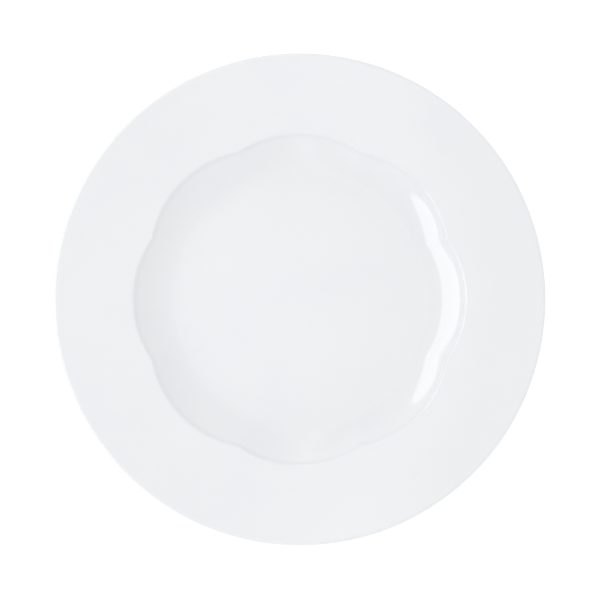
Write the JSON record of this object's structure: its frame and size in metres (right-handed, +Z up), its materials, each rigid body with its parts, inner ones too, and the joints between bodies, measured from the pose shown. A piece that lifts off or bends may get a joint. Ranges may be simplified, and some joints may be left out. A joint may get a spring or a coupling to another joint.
{
  "type": "dinner plate",
  "caption": "Round white glazed porcelain dinner plate with a broad gently rising rim, a flat floor, a well whose wall is drawn into soft lobes, and a foot ring.",
  "frame": {"origin": "centre of the foot ring's bearing band, on the table", "axes": "+Z up along the plate's axis, out of the well; +X through the tip of a lobe"},
  "size_m": [0.27, 0.27, 0.0235],
  "materials": {
    "fired_porcelain": "bare fired porcelain, fine-grained and matt, seen only on the foot ring's bearing band",
    "clear_glaze": "smooth glossy white glaze, very slightly cool, with the faint waviness of a dipped coat"
  },
  "bodies": {
    "root": {"porcelain_body": "fired_porcelain", "outer_glaze": "clear_glaze", "foot_recess_glaze": "clear_glaze"}
  },
  "joints": []
}
